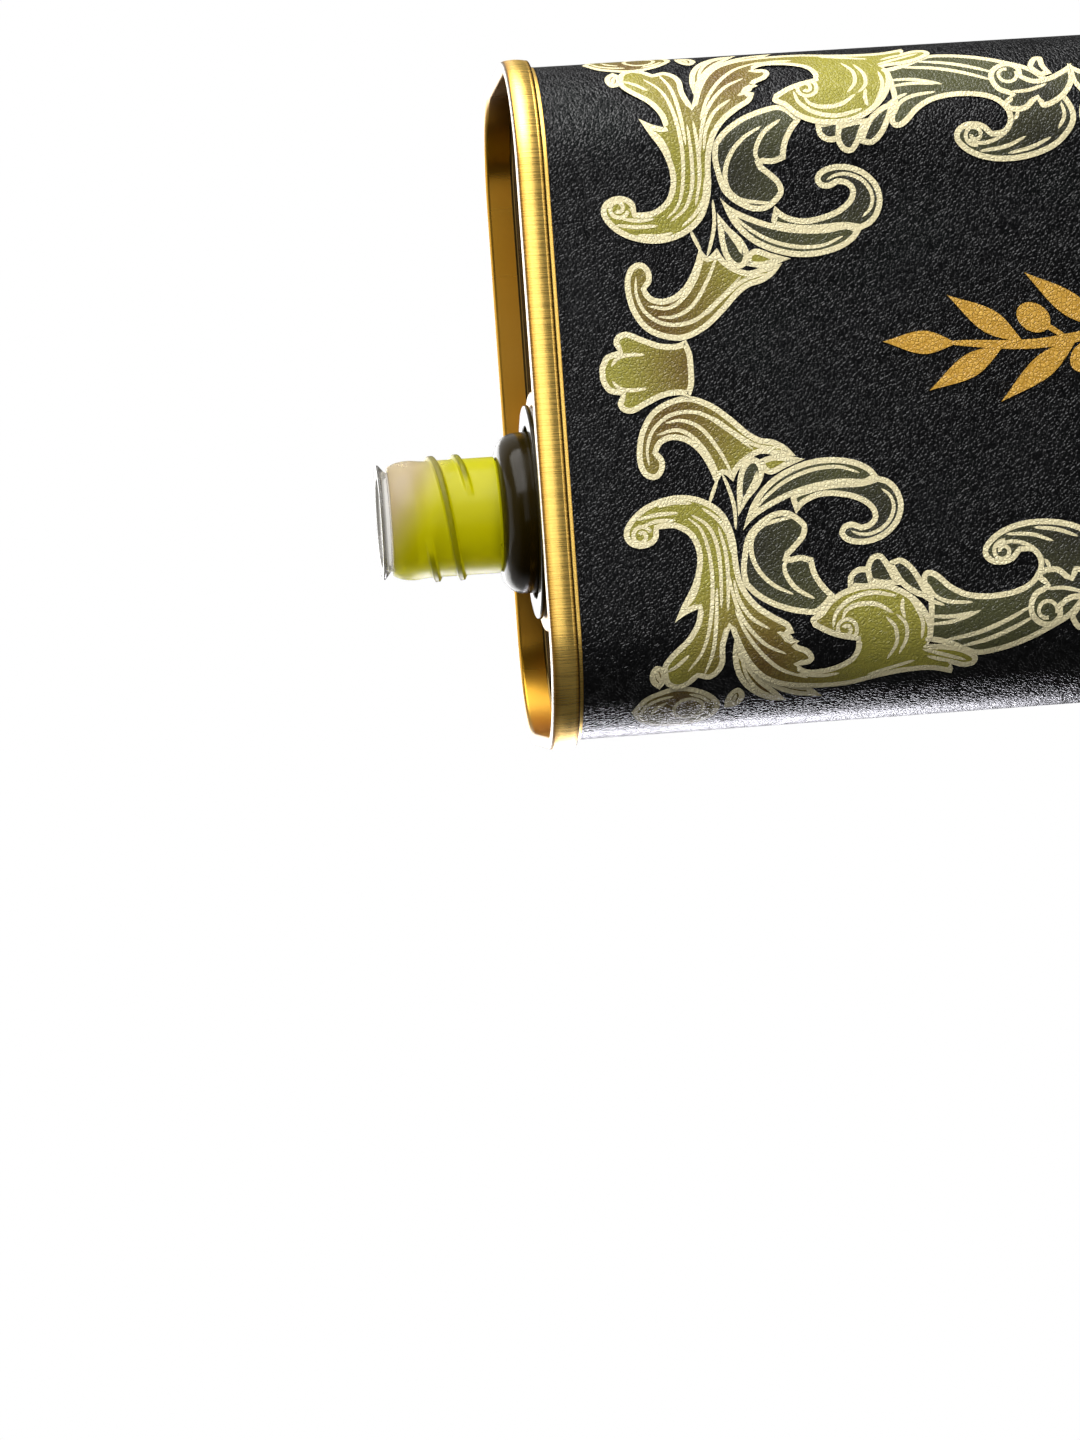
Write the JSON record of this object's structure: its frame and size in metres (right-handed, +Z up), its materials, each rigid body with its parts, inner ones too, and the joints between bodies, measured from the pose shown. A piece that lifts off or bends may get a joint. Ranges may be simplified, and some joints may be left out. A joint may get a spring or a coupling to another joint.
{
  "type": "olive oil tin with pull-up spout",
  "caption": "Rectangular half-litre oil tin with double-seamed ends, rounded upright edges and a clear pull-up pouring spout set off-centre in its lid.",
  "frame": {"origin": "middle of the base, on the plane that the tin stands on", "axes": "+Z up along the spout's axis, front face looking along -Y, spout towards -X"},
  "size_m": [0.0882, 0.0522, 0.154],
  "materials": {
    "black_lacquer": "satin black print with a fine leather grain and gold ornament",
    "gold_lacquer": "brushed gold-lacquered tinplate",
    "clear_plastic": "translucent, tinted yellow-green",
    "sealing_rubber": "matte"
  },
  "bodies": {
    "tin": {"can_body": "black_lacquer", "top_end": "gold_lacquer", "bottom_end": "gold_lacquer", "top_seam_compound": "sealing_rubber", "bottom_seam_compound": "sealing_rubber", "spout_collar": "clear_plastic", "spout_seal": "sealing_rubber", "spout_diaphragm": "clear_plastic"},
    "spout": {"spout_neck": "clear_plastic", "pour_ring": "clear_plastic"}
  },
  "joints": [
    {"name": "spout_pull", "type": "slide", "parent": "tin", "child": "spout", "axis": [0, 0, 1], "range_m": [-0.02, 0], "deforming": ["spout_diaphragm"]}
  ]
}
